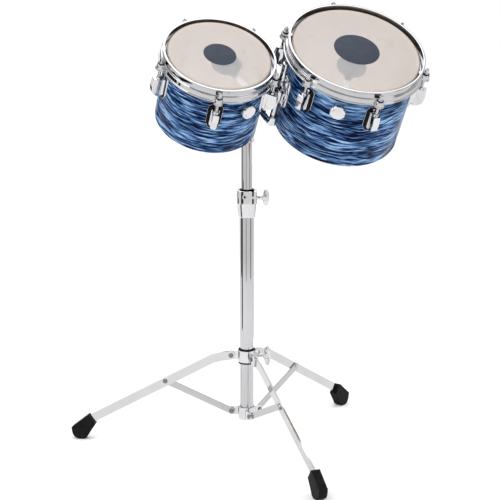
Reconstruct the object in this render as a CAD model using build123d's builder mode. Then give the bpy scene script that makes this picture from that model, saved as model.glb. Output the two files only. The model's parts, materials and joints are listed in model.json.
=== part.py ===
"""Pair of concert toms, 8 and 10 inch, on a folding tripod stand with a twin tom holder.

Frame: millimetres, +Z up, floor at Z = 0, the player at -Y.  Every sub-part is made about
the mast axis, and save() moves it so that the origin is under the middle of the whole object.
"""
import os
from math import cos, radians, sin, tan

from build123d import *

os.makedirs("parts", exist_ok=True)

# ---------------------------------------------------------------- driving dimensions
MAST_X, MAST_Y = 9.538, 21.813

# stand tubes
TUBE_R, TUBE_WALL = 14.3, 1.6   # lower tube, 28.6 mm outside
POST_R, POST_WALL = 11.1, 1.6   # upper tube, 22.2 mm outside
TUBE_BOTTOM, TUBE_TOP = 58.0, 514.0
POST_BOTTOM, POST_TOP = 300.0, 664.0
RUN = 0.06                      # radial clearance of every running fit

# tripod, each leg in its own vertical plane through the mast axis
LEG_ANGLES = (173.0, 53.0, -67.0)
PIVOT_R = 32.6                  # leg and stay pivots from the mast axis
LEG_PIVOT_Z, STAY_PIVOT_Z = 192.5, 70.5
KNEE = (172.3, 131.5)           # where a stay meets its leg
LEG_T, LEG_W = 4.0, 18.0
STAY_T, STAY_W = 3.0, 14.0
STAY_OFFSET = LEG_T / 2 + 0.4 + STAY_T / 2
FORK_T = 2.5
LEG_TOP, LEG_BEND = (51.0, 189.3), (72.0, 183.5)
LEG_END = (331.0, 43.5)
RIVET_R = 3.0
COLLAR_R, COLLAR_H = 18.2, 26.0

# height clamp and the wing bolts
CLAMP_BOTTOM, CLAMP_BLOCK, CLAMP_TOP = 485.0, 516.0, 542.0
BUSH_R = 13.2
CLAMP_BOLT_Y, CLAMP_BOLT_Z = -19.0, 529.0
CLAMP_SLOT_X, CLAMP_SLOT_W = 12.7, 3.0
BUSH_FLANGE, BUSH_FLANGE_T = 0.9, 1.2

# tilted deck: the twin carrier, both rods and both drums lean the same way
TILT_Z = 690.0                  # height of the tilt hinge, on the mast axis
LEAN, PITCH = 12.7, 33.0        # towards +X and towards the player
AXIS = Vector(tan(radians(LEAN)), -tan(radians(PITCH)), 1).normalized()
DECK = Plane(origin=(0, 0, TILT_Z), x_dir=Vector(0, 1, 0).cross(AXIS), z_dir=AXIS)
HINGE_ANGLE = 22.84             # the horizontal hinge axis, seen in the deck
HUB_R, HUB_T, HUB_GAP = 16.5, 13.0, 0.3
ROD_R = 6.35
ROD_OFF = 13.0                  # rod axis outside the shell
BLOCK_Z, BLOCK_T, BLOCK_W = 61.0, 20.0, 23.0

# drums, each about its own axis with Z = 0 at the top of the hoop
FILM_T = 0.3
SHELL_T, WRAP_T = 6.0, 0.8
TENSION_OFF = 14.5              # tension rods outside the shell
LUG_TOP, LUG_BOTTOM, LUG_DEPTH, LUG_W = -49.0, -94.0, 27.0, 13.0
LUG_SCREWS = (-46.5, -85.5)
SCREW_R = 2.5
EAR_TOP = -13.8
KNOB_Z, KNOB_R, KNOB_T = -58.0, 15.5, 12.0
SHAFT_R = 3.5
PAD_R, PAD_T, PAD_REACH = 29.0, 9.0, 72.0
PAD_GAP = 2.5                   # resting pad below the film
ARM_T = 1.5

DRUMS = {
    "8": dict(axis=(-80.1, -75.15), rim=199.0, r=101.0, depth=163.5, head_z=-1.5,
              lugs=5, lug_0=-82.0, knob=-46.0, bracket=26.0, grip=-82.0, rod_top=-33.0, dot=31.75),
    "10": dict(axis=(174.7, -6.0), rim=233.4, r=126.5, depth=194.5, head_z=-5.0,
               lugs=6, lug_0=-66.3, knob=-96.3, bracket=203.7, grip=-96.0, rod_top=-31.0, dot=45.0),
}
GRIP_H = 46.0                   # height of a shell bracket's grip on its rod


def save(name, part):
    """Move a part from the mast axis to the row's origin, name it and write it."""
    placed = part.moved(Location((MAST_X, MAST_Y, 0)))
    placed.label = name
    export_step(placed, f"parts/{name}.step")


def polar(r, angle):
    return r * cos(radians(angle)), r * sin(radians(angle))


def strap(points, width):
    """A flat outline of constant width with round ends about each point."""
    with BuildSketch() as outline:
        for a, b in zip(points, points[1:]):
            length = (Vector(*b) - Vector(*a)).length
            turn = (Vector(*b) - Vector(*a)).get_angle(Vector(1, 0)) * (1 if b[1] > a[1] else -1)
            middle = ((a[0] + b[0]) / 2, (a[1] + b[1]) / 2)
            with Locations(Location(middle, turn)):
                SlotCenterToCenter(length, width)
    return outline.sketch


def rivet(plane, at, low, high, head=1.9):
    """A rivet along the plane's normal, with a round head outside low and high."""
    with BuildPart() as body:
        with BuildSketch(plane.offset(low)):
            with Locations(at):
                Circle(RIVET_R)
        extrude(amount=high - low)
        for level, way in ((low, -1), (high, 1)):
            with BuildSketch(plane.offset(level)):
                with Locations(at):
                    Circle(RIVET_R + 2.2)
            extrude(amount=way * head, taper=25)
    return body.part


def wing_bolt(shank_r, shank, hub_r, hub, span, height, blade=4.5):
    """A wing bolt along +X: the shank ends at x = 0 and the wing lies beyond it, in XZ."""
    paddle = [(0.14, 0.26), (0.32, 0.49), (0.76, 0.5), (0.97, 0.2)]  # shares of height and span
    with BuildPart() as bolt:
        with BuildSketch(Plane.YZ.offset(-shank)):
            Circle(shank_r)
        extrude(amount=shank)
        with BuildSketch(Plane.YZ):
            Circle(hub_r)
        extrude(amount=hub, taper=4)
        with BuildSketch(Plane.XZ):
            with BuildLine():
                upper = [(height * x, span * z) for x, z in paddle]
                lower = [(x, -z) for x, z in reversed(upper)]
                Polyline((0.6, span * 0.12), *upper, *lower, (0.6, -span * 0.12), close=True)
            make_face()
            fillet([v for v in vertices() if abs(v.Y) > span * 0.4], radius=1.6)
        extrude(amount=blade / 2, both=True)
    return bolt.part


# ---------------------------------------------------------------- tubes and height clamp
with BuildPart() as lower_tube:
    with BuildSketch(Plane.XY.offset(TUBE_BOTTOM)):
        Circle(TUBE_R)
        Circle(TUBE_R - TUBE_WALL, mode=Mode.SUBTRACT)
    extrude(amount=TUBE_TOP - TUBE_BOTTOM)
save("lower_tube", lower_tube.part)

with BuildPart() as upper_tube:
    with BuildSketch(Plane.XY.offset(POST_BOTTOM)):
        Circle(POST_R)
        Circle(POST_R - POST_WALL, mode=Mode.SUBTRACT)
    extrude(amount=POST_TOP - POST_BOTTOM)
save("upper_tube", upper_tube.part)

with BuildPart() as height_clamp:
    with BuildSketch(Plane.XY.offset(CLAMP_BOTTOM)):
        Circle(TUBE_R + 1.9)
    with BuildSketch(Plane.XY.offset(CLAMP_BLOCK)):
        Circle(20.4)
    loft()
    with BuildSketch(Plane.XY.offset(CLAMP_BLOCK)):
        with Locations((0.5, -2)):
            RectangleRounded(41, 44, 9)
    extrude(amount=CLAMP_TOP - CLAMP_BLOCK)
    fillet(edges().group_by(Axis.Z)[-1], radius=1.6)
    with BuildSketch(Plane.XY.offset(CLAMP_BOTTOM)):
        Circle(TUBE_R)
    extrude(amount=TUBE_TOP - CLAMP_BOTTOM, mode=Mode.SUBTRACT)
    with BuildSketch(Plane.XY.offset(TUBE_TOP)):
        Circle(BUSH_R)
    extrude(amount=CLAMP_TOP - TUBE_TOP, mode=Mode.SUBTRACT)
    with BuildSketch(Plane.XY.offset(CLAMP_BLOCK + 1.5)):
        with Locations((CLAMP_SLOT_X, -18)):
            Rectangle(CLAMP_SLOT_W, 18)
    extrude(amount=CLAMP_TOP - CLAMP_BLOCK, mode=Mode.SUBTRACT)
    with BuildSketch(Plane.YZ):
        with Locations((CLAMP_BOLT_Y, CLAMP_BOLT_Z)):
            Circle(4.0 + RUN)
    extrude(amount=25, mode=Mode.SUBTRACT)
    with BuildSketch(Plane.XZ.offset(20)):
        with Locations((-4, CLAMP_BOLT_Z + 1.8)):
            Circle(3.0)
    extrude(amount=6, mode=Mode.SUBTRACT)
save("height_clamp", height_clamp.part)

with BuildPart() as clamp_bush:
    with BuildSketch(Plane.XY.offset(TUBE_TOP + 0.5)):
        Circle(BUSH_R)
        Circle(POST_R + RUN, mode=Mode.SUBTRACT)
    extrude(amount=CLAMP_TOP - TUBE_TOP)
    with BuildSketch(Plane.XY.offset(CLAMP_TOP + 0.5)):
        Circle(BUSH_R + BUSH_FLANGE)
        Circle(POST_R + RUN, mode=Mode.SUBTRACT)
    extrude(amount=BUSH_FLANGE_T)
save("clamp_bush", clamp_bush.part)

with BuildPart() as clamp_screw:
    with BuildSketch(Plane.XZ.offset(20.5)):
        with Locations((-4, CLAMP_BOLT_Z + 1.8)):
            Circle(2.9)
    extrude(amount=3.5)
    with BuildSketch(Plane.XZ.offset(24.0)):
        with Locations((-4, CLAMP_BOLT_Z + 1.8)):
            Circle(5.0)
            RegularPolygon(2.6, 6, mode=Mode.SUBTRACT)
    extrude(amount=2.4)
save("clamp_screw", clamp_screw.part)

height_bolt = wing_bolt(4.0, 29.0, 6.5, 10.0, 33.0, 15.0)
save("height_wing_bolt", height_bolt.moved(Location((31, CLAMP_BOLT_Y, CLAMP_BOLT_Z))))


# ---------------------------------------------------------------- collars
def collar(pivot_z, tongue_offset, tongue_t, bore):
    """A ring on the mast with one drilled tongue for each leg plane."""
    with BuildPart() as ring:
        with BuildSketch(Plane.XY.offset(pivot_z - COLLAR_H / 2)):
            Circle(COLLAR_R)
        extrude(amount=COLLAR_H)
        chamfer(edges().filter_by(GeomType.CIRCLE), length=1.2)
        for angle in LEG_ANGLES:
            turned = Plane.XZ.rotated((0, 0, angle)).offset(-tongue_offset)
            with BuildSketch(turned):
                with Locations(((PIVOT_R + 12) / 2, pivot_z)):
                    SlotCenterToCenter(PIVOT_R - 12, 17)
            extrude(amount=tongue_t / 2, both=True)
        with BuildSketch(Plane.XY.offset(pivot_z - COLLAR_H)):
            Circle(bore)
        extrude(amount=2 * COLLAR_H, mode=Mode.SUBTRACT)
        for angle in LEG_ANGLES:
            with BuildSketch(Plane.XZ.rotated((0, 0, angle)).offset(-20)):
                with Locations((PIVOT_R, pivot_z)):
                    Circle(RIVET_R)
            extrude(amount=40, mode=Mode.SUBTRACT)
    return ring.part


TONGUE_T = LEG_T - 0.3
SLEEVE_R, FLANGE_R, FLANGE_T = 16.2, 17.6, 2.2
STAY_TONGUE = STAY_OFFSET + STAY_T / 2 + 0.3 + 2.0
save("stay_collar", collar(STAY_PIVOT_Z, -STAY_TONGUE, 4.0, TUBE_R))

with BuildPart() as leg_collar:
    add(collar(LEG_PIVOT_Z, 0, TONGUE_T, SLEEVE_R))
    with BuildSketch(Plane.YZ.offset(COLLAR_R - 3)):
        with Locations((0, LEG_PIVOT_Z)):
            RectangleRounded(17, 20, 3)
    extrude(amount=9)
    with BuildSketch(Plane.XY.offset(LEG_PIVOT_Z - COLLAR_H)):
        Circle(SLEEVE_R)
    extrude(amount=2 * COLLAR_H, mode=Mode.SUBTRACT)
    with BuildSketch(Plane.YZ.offset(TUBE_R)):
        with Locations((0, LEG_PIVOT_Z)):
            Circle(4.0 + RUN)
    extrude(amount=30, mode=Mode.SUBTRACT)
save("leg_collar", leg_collar.part)

with BuildPart() as collar_bush:
    with BuildSketch(Plane.XY.offset(LEG_PIVOT_Z - COLLAR_H / 2)):
        Circle(SLEEVE_R)
    extrude(amount=COLLAR_H)
    for low in (LEG_PIVOT_Z - COLLAR_H / 2 - FLANGE_T, LEG_PIVOT_Z + COLLAR_H / 2):
        with BuildSketch(Plane.XY.offset(low)):
            Circle(FLANGE_R)
        extrude(amount=FLANGE_T)
    with BuildSketch(Plane.XY.offset(LEG_PIVOT_Z - COLLAR_H)):
        Circle(TUBE_R + RUN)
    extrude(amount=2 * COLLAR_H, mode=Mode.SUBTRACT)
    with BuildSketch(Plane.YZ):
        with Locations((0, LEG_PIVOT_Z)):
            Circle(4.0 + RUN)
    extrude(amount=30, mode=Mode.SUBTRACT)
save("collar_bush", collar_bush.part)

collar_bolt = wing_bolt(4.0, 18.6, 6.5, 10.5, 41.0, 16.0)
save("collar_wing_bolt", collar_bolt.moved(Location((34, 0, LEG_PIVOT_Z))))


def pivot_pins(z, low, high):
    with BuildPart() as pins:
        for angle in LEG_ANGLES:
            add(rivet(Plane.XZ.rotated((0, 0, angle)), (PIVOT_R, z), low, high))
    return pins.part


FORK_OUT = LEG_T / 2 + FORK_T
save("leg_pins", pivot_pins(LEG_PIVOT_Z, -FORK_OUT - 0.3, FORK_OUT + 0.3))
save("stay_pins", pivot_pins(STAY_PIVOT_Z, STAY_OFFSET - STAY_T / 2 - 0.3, STAY_TONGUE + 2.0))


# ---------------------------------------------------------------- legs, stays and feet
with BuildPart() as leg:
    with BuildSketch(Plane.XZ):
        add(strap([LEG_TOP, LEG_BEND, LEG_END], LEG_W))
    extrude(amount=LEG_T / 2, both=True)
    with BuildSketch(Plane.XZ.offset(-LEG_T)):
        with Locations(KNEE):
            Circle(RIVET_R)
    extrude(amount=2 * LEG_T, mode=Mode.SUBTRACT)

# two cheeks welded to the leg, square at the outer end
with BuildPart() as fork:
    for side in (-1, 1):
        with BuildSketch(Plane.XZ.offset(side * (LEG_T + FORK_T) / 2)):
            add(strap([(PIVOT_R, LEG_PIVOT_Z), LEG_TOP], LEG_W))
            with Locations((PIVOT_R, LEG_PIVOT_Z)):
                Circle(RIVET_R + RUN, mode=Mode.SUBTRACT)
            with Locations((LEG_TOP[0] + 12.6, LEG_TOP[1] - 2.2)):
                Rectangle(25, 40, rotation=-9.9, mode=Mode.SUBTRACT)
        extrude(amount=FORK_T / 2, both=True)

with BuildPart() as stay:
    with BuildSketch(Plane.XZ.offset(STAY_OFFSET)):
        add(strap([(PIVOT_R, STAY_PIVOT_Z), KNEE], STAY_W))
        with Locations((PIVOT_R, STAY_PIVOT_Z)):
            Circle(RIVET_R + RUN, mode=Mode.SUBTRACT)
        with Locations(KNEE):
            Circle(RIVET_R, mode=Mode.SUBTRACT)
    extrude(amount=STAY_T / 2, both=True)

with BuildPart() as knee_rivet:
    with BuildSketch(Plane.XZ.offset(LEG_T / 2)):
        with Locations(KNEE):
            Circle(RIVET_R)
    extrude(amount=-LEG_T)
    with BuildSketch(Plane.XZ.offset(-LEG_T / 2)):
        with Locations(KNEE):
            Circle(RIVET_R + 2.2)
    extrude(amount=-1.9, taper=25)

STAY_OUT = STAY_OFFSET + STAY_T / 2
with BuildPart() as stay_rivet:
    with BuildSketch(Plane.XZ.offset(STAY_OUT)):
        with Locations(KNEE):
            Circle(RIVET_R)
    extrude(amount=-STAY_T)
    with BuildSketch(Plane.XZ.offset(STAY_OUT)):
        with Locations(KNEE):
            Circle(RIVET_R + 2.2)
    extrude(amount=1.9, taper=25)

FOOT_W = 18.5
with BuildPart() as foot:
    with BuildSketch(Plane.XZ):
        with BuildLine():
            Line((336.5, 53.5), (374.0, 24.0))
            Line((374.0, 24.0), (372.0, 13.0))
            ThreePointArc((372.0, 13.0), (366.2, 3.8), (357.0, 0))
            Line((357.0, 0), (348.0, 0))
            ThreePointArc((348.0, 0), (342.0, 2.8), (338.5, 8.0))
            Line((338.5, 8.0), (322.0, 33.0))
            Line((322.0, 33.0), (336.5, 53.5))
        make_face()
    extrude(amount=FOOT_W / 2, both=True)
    fillet(edges().filter_by(Axis.Y).sort_by(Axis.Z)[-2:], radius=2.5)
    with BuildSketch(Plane.XZ):
        add(strap([LEG_BEND, LEG_END], LEG_W))
    extrude(amount=LEG_T / 2, both=True, mode=Mode.SUBTRACT)

for number, angle in enumerate(LEG_ANGLES, start=1):
    turn = Rotation(0, 0, angle)
    save(f"leg_{number}", leg.part.moved(turn))
    save(f"leg_fork_{number}", fork.part.moved(turn))
    save(f"knee_rivet_{number}", knee_rivet.part.moved(turn))
    save(f"foot_{number}", foot.part.moved(turn))
    save(f"stay_{number}", Compound([stay.part, stay_rivet.part]).moved(turn))


# ---------------------------------------------------------------- twin holder
hinge_dir = DECK.x_dir * cos(radians(HINGE_ANGLE)) + DECK.y_dir * sin(radians(HINGE_ANGLE))
HINGE = Plane(origin=DECK.origin, x_dir=AXIS, z_dir=hinge_dir)
BASE_R = 15.5

with BuildPart() as holder_base:
    with BuildSketch(Plane.XY.offset(640)):
        Circle(BASE_R)
    extrude(amount=31)
    with BuildSketch(Plane.XY.offset(668)):
        with Locations(Location((hinge_dir.X * -HUB_T / 2, hinge_dir.Y * -HUB_T / 2, 0),
                                Vector(1, 0, 0).get_signed_angle(hinge_dir, Vector(0, 0, 1)))):
            Rectangle(HUB_T, 24)
    extrude(amount=16)
    with BuildSketch(HINGE):
        Circle(HUB_R)
    extrude(amount=-HUB_T)
    with BuildSketch(HINGE.offset(-HUB_T - 10)):
        Circle(4.0 + RUN)
    extrude(amount=30, mode=Mode.SUBTRACT)
    with BuildSketch(Plane.XY.offset(630)):
        Circle(POST_R + RUN)
    extrude(amount=POST_TOP + RUN - 630, mode=Mode.SUBTRACT)
save("holder_base", holder_base.part)

BLOCK = {name: Vector(*d["axis"]) + Vector(*polar(d["r"] + ROD_OFF, d["bracket"]))
         for name, d in DRUMS.items()}
across = BLOCK["10"] - BLOCK["8"]
block_mid = (BLOCK["10"] + BLOCK["8"]) / 2
block_turn = Vector(1, 0, 0).get_signed_angle(across, Vector(0, 0, 1))
near_end = block_mid - across.normalized() * (across.length / 2 + 2)

with BuildPart() as carrier:
    with BuildSketch(Plane.XY.offset(BLOCK_Z - BLOCK_T / 2)):
        with Locations(Location((block_mid.X, block_mid.Y, 0), block_turn)):
            SlotCenterToCenter(across.length, BLOCK_W)
    extrude(amount=BLOCK_T)
    chamfer(edges().group_by(Axis.Z)[-1], length=1.5)
    chamfer(edges().group_by(Axis.Z)[0], length=1.5)
    hub_mid = HUB_GAP + HUB_T / 2
    foot_xy = polar(hub_mid, HINGE_ANGLE)
    with BuildSketch(Plane.XY.offset(4)):
        with Locations(Location((foot_xy[0], foot_xy[1], 0), HINGE_ANGLE)):
            Rectangle(HUB_T, 20)
    with BuildSketch(Plane.XY.offset(BLOCK_Z)):
        with Locations(Location((near_end.X, near_end.Y, 0), block_turn)):
            Rectangle(16, 15)
    loft()
    with BuildSketch(Plane.YZ.rotated((0, 0, HINGE_ANGLE)).offset(HUB_GAP)):
        Circle(HUB_R)
    extrude(amount=HUB_T)
    with BuildSketch(Plane.YZ.rotated((0, 0, HINGE_ANGLE)).offset(-20)):
        Circle(4.0 + RUN)
    extrude(amount=60, mode=Mode.SUBTRACT)
    with BuildSketch(Plane.XY.offset(BLOCK_Z - BLOCK_T)):
        with Locations(*[(p.X, p.Y) for p in BLOCK.values()]):
            Circle(ROD_R)
    extrude(amount=2 * BLOCK_T, mode=Mode.SUBTRACT)
save("carrier", carrier.part.moved(DECK.location))

tilt_bolt = wing_bolt(4.0, 30.5, 6.5, 10.0, 36.0, 15.0)
save("tilt_wing_bolt", tilt_bolt.moved(
    DECK.location * Location((0, 0, 0), (0, 0, HINGE_ANGLE + 180)) * Location((16, 0, 0))))


# ---------------------------------------------------------------- drums
def shell_and_wrap(d):
    r, bottom = d["r"], -d["depth"]
    top = d["head_z"] - FILM_T
    with BuildPart() as shell:
        with BuildSketch(Plane.XZ):
            with BuildLine():
                Polyline((r - SHELL_T - WRAP_T, bottom), (r - WRAP_T, bottom), (r - WRAP_T, top - 2.5),
                         (r - WRAP_T - 2.5, top), (r - WRAP_T - SHELL_T, top - 3.5), close=True)
            make_face()
        revolve(axis=Axis.Z)
    with BuildPart() as wrap:
        with BuildSketch(Plane.XY.offset(bottom + 1)):
            Circle(r)
            Circle(r - WRAP_T, mode=Mode.SUBTRACT)
        extrude(amount=-21 - bottom)
    return shell.part, wrap.part


def screw_holes(d, radius):
    """Cutter for the screws of every lug and of the bracket, and for the damper shaft."""
    with BuildPart() as holes:
        for angle, levels in screw_places(d):
            for z in levels:
                with BuildSketch(Plane.YZ.rotated((0, 0, angle)).offset(d["r"] - 30)):
                    with Locations((0, z)):
                        Circle(radius)
                extrude(amount=36)
    return holes.part


def screw_places(d):
    lugs = [(d["lug_0"] + 360 / d["lugs"] * i, LUG_SCREWS) for i in range(d["lugs"])]
    return lugs + [(d["bracket"], (d["grip"] + 19, d["grip"] - 31))]


def screws(d):
    inside = d["r"] - SHELL_T - WRAP_T
    with BuildPart() as group:
        for angle, levels in screw_places(d):
            for z in levels:
                with BuildSketch(Plane.YZ.rotated((0, 0, angle)).offset(inside - 3)):
                    with Locations((0, z)):
                        Circle(5.2)
                extrude(amount=2.7)
                with BuildSketch(Plane.YZ.rotated((0, 0, angle)).offset(inside - 1)):
                    with Locations((0, z)):
                        Circle(SCREW_R)
                extrude(amount=SHELL_T + WRAP_T + 4)
    return group.part


def drumhead(d):
    """Film, the metal flesh hoop that its collar is crimped into, and the patch at its centre."""
    r, top = d["r"], d["head_z"]
    collar_top = top - 4.2
    film_outline = [(0, top), (r - 3.0, top), (r + 0.6, top - 3.2), (r + 0.6, collar_top),
                    (r + 0.2, collar_top), (r + 0.2, top - 3.3), (r - 3.2, top - FILM_T),
                    (0, top - FILM_T)]
    hoop_outline = [(r + 0.2, collar_top), (r + 0.6, collar_top), (r + 0.6, -17.0), (r + 7.8, -17.0),
                    (r + 7.8, -22.5), (r + 0.9, -22.5), (r + 0.9, -18.0), (r + 0.2, -18.0)]
    rings = []
    for outline in (film_outline, hoop_outline):
        with BuildPart() as ring:
            with BuildSketch(Plane.XZ):
                with BuildLine():
                    Polyline(*outline, close=True)
                make_face()
            revolve(axis=Axis.Z)
        rings.append(ring.part)
    with BuildPart() as dot:
        with BuildSketch(Plane.XY.offset(top)):
            Circle(d["dot"])
        extrude(amount=0.3)
    return *rings, dot.part


def hoop_part(d):
    r = d["r"]
    outline = [(4.5, 0), (8.9, 0), (8.9, -2.2), (6.4, -2.2), (6.4, -13.8), (10.6, -13.8),
               (10.6, -23.8), (13.5, -23.8), (13.5, -26), (8.7, -26), (8.7, -15.8), (4.5, -15.8)]
    with BuildPart() as hoop:
        with BuildSketch(Plane.XZ):
            with BuildLine():
                Polyline(*[(r + x, z) for x, z in outline], close=True)
            make_face()
            fillet(vertices().sort_by(Axis.Y)[-2:], radius=1.0)
        revolve(axis=Axis.Z)
        for i in range(d["lugs"]):
            angle = d["lug_0"] + 360 / d["lugs"] * i
            for half, top, mode in ((8.0, EAR_TOP, Mode.ADD), (6.0, EAR_TOP - 2.2, Mode.SUBTRACT)):
                length = TENSION_OFF - 9.5
                middle = polar(r + 9.5 + length / 2, angle)
                with BuildSketch(Plane.XY.offset(top)):
                    with Locations(Location((middle[0], middle[1], 0), angle)):
                        SlotCenterToCenter(length, 2 * half)
                    Circle(r + 8.7 if mode == Mode.ADD else r + 10.6, mode=Mode.SUBTRACT)
                extrude(amount=-26 - top, mode=mode)
            with BuildSketch(Plane.XY.offset(EAR_TOP)):
                with Locations(polar(r + TENSION_OFF, angle)):
                    Circle(3.4)
            extrude(amount=-4, mode=Mode.SUBTRACT)
    return hoop.part


def lug_group(d):
    r = d["r"]
    with BuildPart() as lug:
        with BuildSketch(Plane.XZ):
            with BuildLine():
                Line((r - 2, LUG_TOP), (r + 24.0, LUG_TOP))
                Spline((r + 24.0, LUG_TOP), (r + LUG_DEPTH, -64), (r + 24.5, -80), (r + 15, -90.5),
                       (r + 4, LUG_BOTTOM), tangents=((0.25, -1), (-1, -0.25)))
                Polyline((r + 4, LUG_BOTTOM), (r - 2, LUG_BOTTOM), (r - 2, LUG_TOP))
            make_face()
        extrude(amount=LUG_W / 2, both=True)
        fillet(edges().filter_by(GeomType.BSPLINE), radius=2.0)
        with BuildSketch(Plane.XY.offset(LUG_TOP)):
            with Locations((r + TENSION_OFF, 0)):
                Circle(5.0)
        extrude(amount=3.2)
        with BuildSketch(Plane.YZ.offset(r - 2)):
            with BuildLine():
                Polyline((-14.5, -47), (-9, -41), (9, -41), (14.5, -47), (14.5, -80))
                ThreePointArc((14.5, -80), (10.5, -91), (0, -98))
                ThreePointArc((0, -98), (-10.5, -91), (-14.5, -80))
                Line((-14.5, -80), (-14.5, -47))
            make_face()
        extrude(amount=4.6)
        with BuildSketch(Plane.XY.offset(-110)):
            Circle(r + 0.02)
        extrude(amount=80, mode=Mode.SUBTRACT)
        with BuildSketch(Plane.XY.offset(LUG_TOP + 4)):
            with Locations((r + TENSION_OFF, 0)):
                Circle(2.9)
        extrude(amount=-35, mode=Mode.SUBTRACT)
    with BuildPart() as group:
        for i in range(d["lugs"]):
            add(lug.part.moved(Rotation(0, 0, d["lug_0"] + 360 / d["lugs"] * i)))
        add(screw_holes(d, SCREW_R + 0.1), mode=Mode.SUBTRACT)
    return group.part


def tension_rods(d):
    with BuildPart() as rods:
        for i in range(d["lugs"]):
            at = polar(d["r"] + TENSION_OFF, d["lug_0"] + 360 / d["lugs"] * i)
            for low, high, radius in ((-78.0, -11.0, 2.8), (EAR_TOP, -11.8, 6.5), (-11.8, -9.8, 5.4)):
                with BuildSketch(Plane.XY.offset(low)):
                    with Locations(at):
                        Circle(radius)
                extrude(amount=high - low)
            with BuildSketch(Plane.XY.offset(-9.8)):
                with Locations(Location((at[0], at[1], 0), 20)):
                    Rectangle(6.4, 6.4)
            extrude(amount=8.3)
    return rods.part


def damper(d):
    """Knob with its shaft, the sprung arm inside the shell, and the felt pad it carries."""
    r = d["r"]
    wall = r - SHELL_T - WRAP_T
    pad_x = wall - PAD_REACH
    pad_low = d["head_z"] - FILM_T - PAD_GAP - PAD_T
    with BuildPart() as knob:
        with BuildSketch(Plane.YZ.offset(r + 2.0)):
            with Locations((0, KNOB_Z)):
                Circle(KNOB_R)
        extrude(amount=KNOB_T)
        chamfer(edges().group_by(Axis.X)[-1], length=2.0)
        with BuildSketch(Plane.YZ.offset(wall - 9)):
            with Locations((0, KNOB_Z)):
                Circle(SHAFT_R)
        extrude(amount=r + 2.0 - wall + 9.5)
    with BuildPart() as arm:
        with BuildSketch(Plane.XZ):
            with BuildLine():
                Polyline((wall - 5.5, KNOB_Z - 12), (wall - 4.0, KNOB_Z - 12), (wall - 4.0, pad_low),
                         (pad_x - 14, pad_low), (pad_x - 14, pad_low - ARM_T),
                         (wall - 5.5, pad_low - ARM_T), close=True)
            make_face()
        extrude(amount=6.5, both=True)
        with BuildSketch(Plane.YZ.offset(wall - 8)):
            with Locations((0, KNOB_Z - 1.2)):
                SlotCenterToCenter(2.8, 2 * SHAFT_R + 0.6, rotation=90)
        extrude(amount=6, mode=Mode.SUBTRACT)
    with BuildPart() as pad:
        with BuildSketch(Plane.XY.offset(pad_low)):
            with Locations((pad_x, 0)):
                Circle(PAD_R)
        extrude(amount=PAD_T)
        fillet(edges().group_by(Axis.Z)[-1], radius=2.0)
    return knob.part, arm.part, pad.part


def bracket_parts(d):
    """Shell bracket that grips its rod, and the wing bolt that pinches it."""
    r, mid = d["r"], d["grip"]
    rod_x = r + ROD_OFF
    with BuildPart() as bracket:
        with BuildSketch(Plane.YZ.offset(r - 3)):
            with Locations((0, mid - 6)):
                RectangleRounded(32, 66, 8)
        extrude(amount=6.2)
        with BuildSketch(Plane.XY.offset(mid - GRIP_H / 2)):
            with Locations((rod_x, 0)):
                Circle(11.0)
            with Locations((r + 5.5, 0)):
                Rectangle(15, 20)
        extrude(amount=GRIP_H)
        with BuildSketch(Plane.XZ):
            with Locations((rod_x, mid + 10)):
                Circle(7.5)
        extrude(amount=-17)
        with BuildSketch(Plane.XY.offset(mid - 50)):
            Circle(r + 0.02)
            with Locations((rod_x, 0)):
                Circle(ROD_R + RUN)
        extrude(amount=100, mode=Mode.SUBTRACT)
        with BuildSketch(Plane.XZ):
            with Locations((rod_x, mid + 10)):
                Circle(4.0 + RUN)
        extrude(amount=-30, mode=Mode.SUBTRACT)
        add(screw_holes(dict(d, bracket=0, lugs=1, lug_0=90), SCREW_R + 0.1), mode=Mode.SUBTRACT)
    bolt = wing_bolt(4.0, 14.8, 6.0, 9.0, 28.0, 14.0)
    bolt = bolt.moved(Location((rod_x, 21.5, mid + 10), (0, 0, 90)))
    return bracket.part, bolt


for size, d in DRUMS.items():
    place = DECK.location * Location((d["axis"][0], d["axis"][1], d["rim"]))
    shell, wrap = shell_and_wrap(d)
    holes = screw_holes(d, SCREW_R + 0.1)
    with BuildPart() as shaft_hole:
        with BuildSketch(Plane.YZ.rotated((0, 0, d["knob"])).offset(d["r"] - 20)):
            with Locations((0, KNOB_Z)):
                Circle(SHAFT_R + RUN)
        extrude(amount=25)
    head, flesh_hoop, dot = drumhead(d)
    knob, arm, pad = damper(d)
    bracket, bracket_bolt = bracket_parts(d)
    with BuildPart() as rod:
        with BuildSketch(Plane.XY.offset(BLOCK_Z - BLOCK_T / 2 - 2)):
            with Locations((BLOCK[size].X, BLOCK[size].Y)):
                Circle(ROD_R)
        extrude(amount=d["rim"] + d["rod_top"] - BLOCK_Z + BLOCK_T / 2 + 2)
        chamfer(edges().filter_by(GeomType.CIRCLE), length=1.0)
    save(f"rod_{size}", rod.part.moved(DECK.location))
    knob_turn, bracket_turn = Rotation(0, 0, d["knob"]), Rotation(0, 0, d["bracket"])
    for name, part in (("shell", shell - holes - shaft_hole.part),
                       ("wrap", wrap - holes - shaft_hole.part),
                       ("head", head), ("flesh_hoop", flesh_hoop), ("dot", dot),
                       ("hoop", hoop_part(d)),
                       ("lugs", lug_group(d)), ("shell_screws", screws(d)),
                       ("tension_rods", tension_rods(d)),
                       ("knob", knob.moved(knob_turn)), ("damper_arm", arm.moved(knob_turn)),
                       ("damper_pad", pad.moved(knob_turn)),
                       ("bracket", bracket.moved(bracket_turn)),
                       ("bracket_wing_bolt", bracket_bolt.moved(bracket_turn))):
        save(f"{name}_{size}", part.moved(place))
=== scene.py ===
"""Looks for the pair of concert toms on their tripod stand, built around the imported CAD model.

Lengths in the shape code are millimetres; everything is placed in the shared frame in metres.
"""
import json
import math
from math import cos, pi, radians, sin

import bmesh
import bpy
from mathutils import Matrix, Vector


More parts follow.
